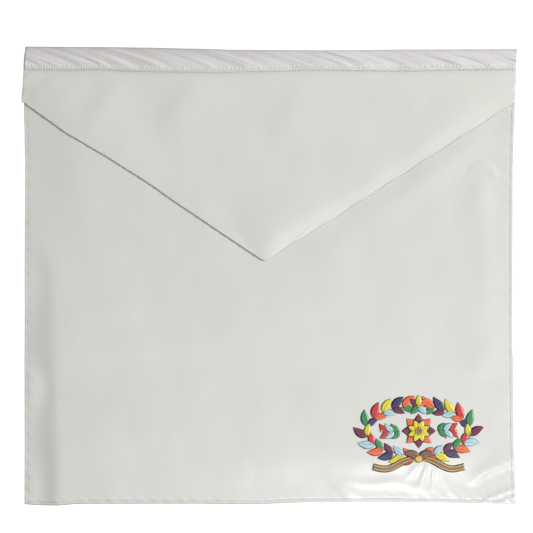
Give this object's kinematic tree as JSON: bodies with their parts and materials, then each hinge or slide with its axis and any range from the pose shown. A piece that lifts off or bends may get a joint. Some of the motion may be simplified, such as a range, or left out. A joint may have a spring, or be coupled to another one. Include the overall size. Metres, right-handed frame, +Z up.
{
  "type": "ceremonial apron",
  "caption": "Plain white cloth apron with a pointed front flap turned down from a ribbon waistband, lying flat with its front up.",
  "frame": {"origin": "middle of the apron's bounding box, on the table that it lies on", "axes": "+Z up, out of the apron's front, +Y towards the waistband, +X to the right of a viewer who faces the front"},
  "size_m": [0.4114, 0.3808, 0.0057],
  "materials": {
    "cloth": "white twill with a soft sheen",
    "ribbon": "white satin ribbon",
    "thread": "white sewing thread",
    "print": "many-coloured flat print on cloth"
  },
  "bodies": {
    "root": {"panel": "cloth", "flap": "cloth", "waistband": "ribbon"}
  },
  "joints": []
}
